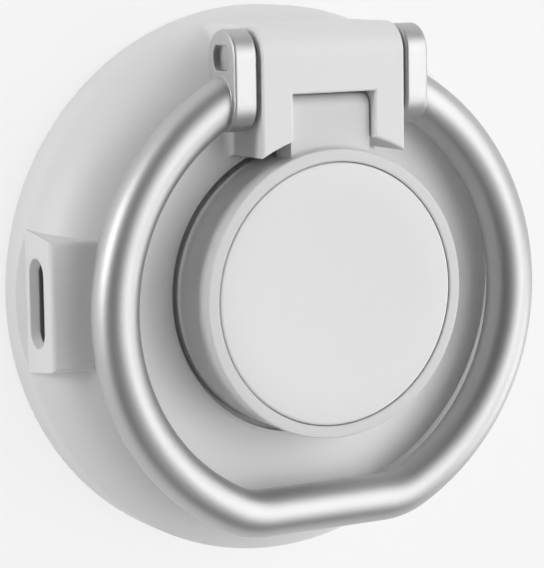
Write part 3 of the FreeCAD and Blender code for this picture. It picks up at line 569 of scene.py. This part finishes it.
class CHARGING_STAND_OT_finish_inner_parts(bpy.types.Operator):
    """Gives the coils, boards, ferrites and black plastics inside their finishes"""

    bl_idname = "charging_stand.finish_inner_parts"
    bl_label = "Finish the Inner Parts"

    def execute(self, context):
        looks = context.scene.stand_finishes
        # The copper's colour darkens between the coil's turns: painted shade.
        copper = make_finish("enamelled_copper", looks.copper_colour, roughness=0.32, metallic=1.0,
                             grain_size=0.1 * MM, grain_depth=0.2, line_pitch=0.42 * MM, line_depth=1.0,
                             groove_painted_shade=0.5, bump=0.8, edge_radius=0.05 * MM)
        ferrite = make_finish("sintered_ferrite", looks.ferrite_colour, roughness=0.6,
                              grain_size=0.08 * MM, grain_depth=0.8, mottle=0.3, edge_radius=0.05 * MM,
                              bump=0.3)
        black = make_finish("black_plastic", looks.black_colour, roughness=0.45, grain_size=0.12 * MM,
                            grain_depth=0.5, mottle=0.2, edge_radius=0.04 * MM, edge_rub=0.4,
                            edge_lift=2.5, bump=0.1)
        board = make_finish("circuit_board_mask", looks.board_colour, roughness=0.35,
                            grain_size=0.6 * MM, grain_depth=0.5, mottle=0.5, coat=0.4,
                            edge_radius=0.05 * MM, bump=0.15)
        ceramic = make_finish("capacitor_ceramic", looks.ceramic_colour, roughness=0.5,
                              grain_size=0.1 * MM, grain_depth=0.4, mottle=0.2, edge_radius=0.05 * MM)
        sheet = make_finish("heat_silicone", looks.sheet_colour, roughness=0.7, grain_size=0.15 * MM,
                            grain_depth=0.6, mottle=0.1, edge_radius=0.05 * MM, bump=0.2)
        wear_finish(COIL_NODES, copper)
        wear_finish(FERRITE_NODES, ferrite)
        wear_finish(BLACK_PLASTIC_NODES, black)
        wear_finish(BOARD_NODES, board)
        wear_finish(("capacitors",), ceramic)
        wear_finish(("heat_sheet",), sheet)
        return {"FINISHED"}


class CHARGING_STAND_OT_make_watch_dish(bpy.types.Operator):
    """Models the white dish that a watch rests in"""

    bl_idname = "charging_stand.make_watch_dish"
    bl_label = "Make the Watch Dish"

    def execute(self, context):
        looks = context.scene.stand_finishes
        sizes = context.scene.stand_pieces
        radius = (DISH_HIGH.x - DISH_LOW.x) / 2
        dish = start_disc("watch_dish_cap", radius, DISH_LOW.z, sizes.round_segments)
        draw_out(DISH_HIGH.z - DISH_LOW.z - sizes.dish_edge)
        for width, rise in quarter_steps(sizes.dish_edge):
            step_in(width, rise)
        step_in(sizes.dish_land - sizes.dish_edge, 0.0)
        bowl_radius = radius - sizes.dish_land
        sphere = (bowl_radius ** 2 + sizes.dish_depth ** 2) / (2 * sizes.dish_depth)
        depth = 0.0
        for index in range(1, BOWL_RINGS):
            reach = bowl_radius * (1 - index / BOWL_RINGS)
            target = sizes.dish_depth - (sphere - math.sqrt(sphere ** 2 - reach ** 2))
            step_in(bowl_radius / BOWL_RINGS, depth - target)
            depth = target
        bpy.ops.mesh.poke()
        finish_mesh()
        dish.data.materials.append(make_finish(
            "satin_white_dish", looks.dish_colour, looks.dish_roughness, grain_size=0.12 * MM,
            grain_depth=0.4, mottle=0.01, edge_radius=0.1 * MM, edge_rub=0.2, edge_lift=1.05, bump=0.03))
        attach(dish, "watch_pad")
        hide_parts("watch_dish")
        return {"FINISHED"}


class CHARGING_STAND_OT_make_rim(bpy.types.Operator):
    """Models the crisp edge of the watch pad's rim"""

    bl_idname = "charging_stand.make_rim"
    bl_label = "Make the Rim's Edge"

    def execute(self, context):
        sizes = context.scene.stand_pieces
        outer = (ARM_HIGH.x - ARM_LOW.x) / 2 + sizes.rim_proud
        top = ARM_HIGH.z + sizes.rim_proud
        profile = [(outer, top - sizes.rim_depth), (outer, top - sizes.rim_edge)]
        for width, rise in quarter_steps(sizes.rim_edge):
            radius, height = profile[-1]
            profile.append((radius - width, height + rise))
        inner = outer - sizes.rim_width
        profile.append((inner, top))
        profile.append((inner, top - sizes.rim_proud * RIM_TUCK))
        profile.append((outer - sizes.rim_width * RIM_FOOT_SHARE, top - sizes.rim_depth))
        rim = turn_ring("watch_pad_rim", profile, sizes.round_segments)
        # The rim wears the watch pad's darker white, which is painted shade.
        rim.data.materials.append(bpy.data.materials["shaded_white_watch_pad"])
        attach(rim, "watch_pad")
        return {"FINISHED"}


class CHARGING_STAND_OT_make_recess_edge(bpy.types.Operator):
    """Models the trim that narrows the gap round the watch pad"""

    bl_idname = "charging_stand.make_recess_edge"
    bl_label = "Make the Recess's Edge"

    def execute(self, context):
        sizes = context.scene.stand_pieces
        outer = (ARM_HIGH.x - ARM_LOW.x) / 2 + sizes.recess_gap
        inner = outer - sizes.recess_trim
        low = ARM_LOW.z - sizes.recess_foot
        high = low + sizes.recess_depth
        profile = [(outer + SUNK, low - SUNK), (outer + SUNK, high), (inner, high), (inner, low - SUNK)]
        trim = turn_ring("recess_edge_trim", profile, sizes.round_segments)
        trim.data.materials.append(bpy.data.materials["satin_white_shell"])
        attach(trim, "charger_body")
        return {"FINISHED"}


class CHARGING_STAND_OT_make_face_pad(bpy.types.Operator):
    """Models the silicone pad on the phone face"""

    bl_idname = "charging_stand.make_face_pad"
    bl_label = "Make the Face Pad"

    def execute(self, context):
        looks = context.scene.stand_finishes
        sizes = context.scene.stand_pieces
        radius = (PAD_HIGH.x - PAD_LOW.x) / 2
        pad = start_disc("silicone_face_pad", radius, PAD_HIGH.z, sizes.round_segments)
        draw_out(-(PAD_HIGH.z - PAD_LOW.z - sizes.pad_edge))
        for width, rise in quarter_steps(sizes.pad_edge):
            step_in(width, -rise)
        step_in(radius - sizes.pad_edge - sizes.pad_groove_radius, 0.0)
        steep = sizes.pad_groove_depth * STEEP
        gentle = sizes.pad_groove_depth - steep
        rises = (steep, gentle, -gentle, -steep)
        for rise in rises:
            step_in(sizes.pad_groove_width / len(rises), rise)
        step_in(sizes.pad_groove_radius / GROOVE_SHARES, 0.0)
        bpy.ops.mesh.poke()
        finish_mesh()
        pad.data.materials.append(make_finish(
            "white_silicone", looks.silicone_colour, roughness=0.62, grain_size=0.3 * MM,
            grain_depth=0.7, mottle=0.03, edge_radius=0.1 * MM, bump=0.15, specular=0.4))
        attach(pad, "charger_body")
        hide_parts("phone_pad")
        return {"FINISHED"}


class CHARGING_STAND_OT_make_socket(bpy.types.Operator):
    """Models the socket's drawn steel shell, set back in the shell's opening; its steel is darkened as
    painted shade for the port's deep inside
    """

    bl_idname = "charging_stand.make_socket"
    bl_label = "Make the Socket"

    def execute(self, context):
        looks = context.scene.stand_finishes
        sizes = context.scene.stand_pieces
        height = SOCKET_HIGH.z - SOCKET_LOW.z
        stretch = (SOCKET_HIGH.y - SOCKET_LOW.y - height) / 2
        middle = (SOCKET_HIGH.z + SOCKET_LOW.z) / 2
        shell = start_slot("drawn_socket_shell", (SOCKET_HIGH.x, 0, middle), height / 2, stretch, "NGON")
        edit_all("FACE")
        depth = SOCKET_HIGH.x - SOCKET_LOW.x - sizes.socket_set_back
        lip = sizes.socket_lip
        steep = lip * STEEP
        gentle = lip - steep
        draw_out(lip - depth, axis=0)
        step_in(gentle, -steep, axis=0)
        step_in(steep, -gentle, axis=0)
        step_in(sizes.socket_wall - 2 * lip, 0.0, axis=0)
        step_in(steep, gentle, axis=0)
        step_in(gentle, steep, axis=0)
        draw_out(depth - lip - sizes.socket_wall, axis=0)
        finish_mesh()
        # The socket's steel colour is darkened: painted shade inside the port.
        shell.data.materials.append(make_finish(
            "shaded_drawn_steel", looks.shaded_socket_colour, roughness=0.38, metallic=1.0, grain_size=0.08 * MM,
            grain_depth=0.4, mottle=0.05, gloss_spread=0.1, edge_radius=0.03 * MM, edge_rub=0.5,
            edge_lift=1.4, bump=0.06))
        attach(shell, "charger_body")
        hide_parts("socket_shell")
        self.flare_mouth(sizes, height / 2 + sizes.socket_play, stretch, middle)
        return {"FINISHED"}

    def flare_mouth(self, sizes, radius, stretch, middle):
        """The plastic lead-in between the port's face and the shell."""
        back = SOCKET_LOW.x + sizes.socket_set_back
        front = SOCKET_LOW.x - sizes.socket_sunk
        flare = start_slot("socket_lead_in", (back, 0, middle), radius, stretch, "NOTHING")
        edit_all("EDGE")
        place = back
        shrunk = 0.0
        for target, narrowing in ((front, 0.0), (front, sizes.socket_lip), (back, sizes.socket_flare)):
            draw_out(target - place, axis=0)
            across = (radius + stretch - narrowing) / (radius + stretch - shrunk)
            tall = (radius - narrowing) / (radius - shrunk)
            bpy.ops.transform.resize(value=(1.0, across, tall), center_override=(target, 0, middle))
            place, shrunk = target, narrowing
        close_ring()
        flare.data.materials.append(bpy.data.materials["satin_white_shell"])
        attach(flare, "charger_body")


class CHARGING_STAND_OT_set_stage(bpy.types.Operator):
    """Sets the pale floor, the lamps and the camera"""

    bl_idname = "charging_stand.set_stage"
    bl_label = "Set the Stage"

    def execute(self, context):
        settings = context.scene.stand_stage
        self.lay_floor(settings)
        self.light_room(context, settings)
        self.hang_lamps(context)
        self.set_camera(context, settings)
        context.scene.view_settings.view_transform = "Standard"
        return {"FINISHED"}

    def lay_floor(self, settings):
        place = (0, 0, CAD_BOUNDS[0][2])
        floor = add_circle("pale_floor", FLOOR_SEGMENTS, settings.floor_radius, place, "NGON")
        deselect_all()
        material = bpy.data.materials.new("pale_floor")
        material.use_nodes = True
        tree = material.node_tree
        tree.nodes.clear()
        paper = add_node(tree, "ShaderNodeBsdfDiffuse")
        paper.inputs["Color"].default_value = PAPER_COLOUR
        glow = add_node(tree, "ShaderNodeEmission")
        glow.inputs["Color"].default_value = (*settings.backdrop_colour, 1.0)
        path = add_node(tree, "ShaderNodeLightPath")
        seen = math_node(tree, "MAXIMUM", path.outputs["Is Camera Ray"], path.outputs["Is Glossy Ray"])
        seen = math_node(tree, "MAXIMUM", seen, path.outputs["Is Transmission Ray"])
        factor = math_node(tree, "MULTIPLY", seen, 1.0 - settings.floor_shadow)
        blend = add_node(tree, "ShaderNodeMixShader")
        link(tree, factor, blend.inputs["Fac"])
        link(tree, paper.outputs[0], blend.inputs[1])
        link(tree, glow.outputs[0], blend.inputs[2])
        output = add_node(tree, "ShaderNodeOutputMaterial")
        link(tree, blend.outputs[0], output.inputs["Surface"])
        floor.data.materials.append(material)

    def light_room(self, context, settings):
        """A dim room with walls that are pale near the floor, as a background for low views."""
        world = bpy.data.worlds.new("studio_room")
        context.scene.world = world
        world.use_nodes = True
        tree = world.node_tree
        way = add_node(tree, "ShaderNodeTexCoord").outputs["Generated"]
        split = add_node(tree, "ShaderNodeSeparateXYZ")
        link(tree, way, split.inputs[0])
        height = add_node(tree, "ShaderNodeMapRange", interpolation_type="SMOOTHSTEP")
        link(tree, split.outputs["Z"], height.inputs["Value"])
        height.inputs["From Min"].default_value = math.sin(settings.wall_low)
        height.inputs["From Max"].default_value = math.sin(settings.wall_high)
        room = add_node(tree, "ShaderNodeMix", data_type="RGBA")
        link(tree, height.outputs["Result"], room.inputs["Factor"])
        room.inputs["A"].default_value = (*settings.wall_colour, 1.0)
        room.inputs["B"].default_value = (*settings.world_colour, 1.0)
        link(tree, room.outputs["Result"], tree.nodes["Background"].inputs["Color"])

    def hang_lamps(self, context):
        for name, place, (width, height), power in LAMPS:
            light = bpy.data.lights.new(name, "AREA")
            light.shape = "RECTANGLE"
            light.size = width
            light.size_y = height
            light.energy = power
            lamp = bpy.data.objects.new(name, light)
            lamp.location = place
            lamp.rotation_euler = (LAMP_TARGET - Vector(place)).to_track_quat("-Z", "Y").to_euler()
            context.scene.collection.objects.link(lamp)

    def set_camera(self, context, settings):
        turn, lift, roll = settings.camera_turn, settings.camera_lift, settings.camera_roll
        back = Vector((-math.sin(turn) * math.cos(lift), math.sin(lift), math.cos(turn) * math.cos(lift)))
        level = Vector((math.cos(turn), 0.0, math.sin(turn)))
        upright = back.cross(level)
        right = math.cos(roll) * level + math.sin(roll) * upright
        up = math.cos(roll) * upright - math.sin(roll) * level
        camera_data = bpy.data.cameras.new("photo_view")
        camera_data.sensor_fit = "VERTICAL"
        camera_data.sensor_height = SENSOR_HEIGHT
        camera_data.lens = settings.camera_lens
        camera_data.clip_start = CLIP_START
        camera = bpy.data.objects.new("photo_view", camera_data)
        context.scene.collection.objects.link(camera)
        rotation = Matrix((right, up, back)).transposed().to_4x4()
        camera.matrix_world = Matrix.Translation(Vector(settings.camera_place)) @ rotation
        context.scene.camera = camera


class CHARGING_STAND_PT_panel(bpy.types.Panel):
    """Lists the steps of dressing the stand"""

    bl_idname = "CHARGING_STAND_PT_panel"
    bl_label = "Charging Stand"
    bl_space_type = "VIEW_3D"
    bl_region_type = "UI"
    bl_category = "Charging Stand"

    def draw(self, context):
        layout = self.layout
        for operator in OPERATORS:
            layout.operator(operator.bl_idname)
        scene = context.scene
        for settings in (scene.stand_finishes, scene.stand_pieces, scene.stand_stage):
            box = layout.box()
            for name in settings.bl_rna.properties.keys():
                if name not in ("rna_type", "name"):
                    box.prop(settings, name)


OPERATORS = (
    CHARGING_STAND_OT_finish_shell,
    CHARGING_STAND_OT_finish_metals,
    CHARGING_STAND_OT_finish_inner_parts,
    CHARGING_STAND_OT_make_watch_dish,
    CHARGING_STAND_OT_make_rim,
    CHARGING_STAND_OT_make_recess_edge,
    CHARGING_STAND_OT_make_face_pad,
    CHARGING_STAND_OT_make_socket,
    CHARGING_STAND_OT_set_stage,
)
SETTINGS = (StandFinishes, StandPieces, StandStage)


def register():
    for item in SETTINGS + OPERATORS + (CHARGING_STAND_PT_panel,):
        bpy.utils.register_class(item)
    bpy.types.Scene.stand_finishes = PointerProperty(type=StandFinishes)
    bpy.types.Scene.stand_pieces = PointerProperty(type=StandPieces)
    bpy.types.Scene.stand_stage = PointerProperty(type=StandStage)


def unregister():
    del bpy.types.Scene.stand_stage
    del bpy.types.Scene.stand_pieces
    del bpy.types.Scene.stand_finishes
    for item in reversed(SETTINGS + OPERATORS + (CHARGING_STAND_PT_panel,)):
        bpy.utils.unregister_class(item)


def main():
    register()
    bpy.ops.charging_stand.finish_shell()
    bpy.ops.charging_stand.finish_metals()
    bpy.ops.charging_stand.finish_inner_parts()
    bpy.ops.charging_stand.make_watch_dish()
    bpy.ops.charging_stand.make_rim()
    bpy.ops.charging_stand.make_recess_edge()
    bpy.ops.charging_stand.make_face_pad()
    bpy.ops.charging_stand.make_socket()
    bpy.ops.charging_stand.set_stage()


if __name__ == "__main__":
    main()
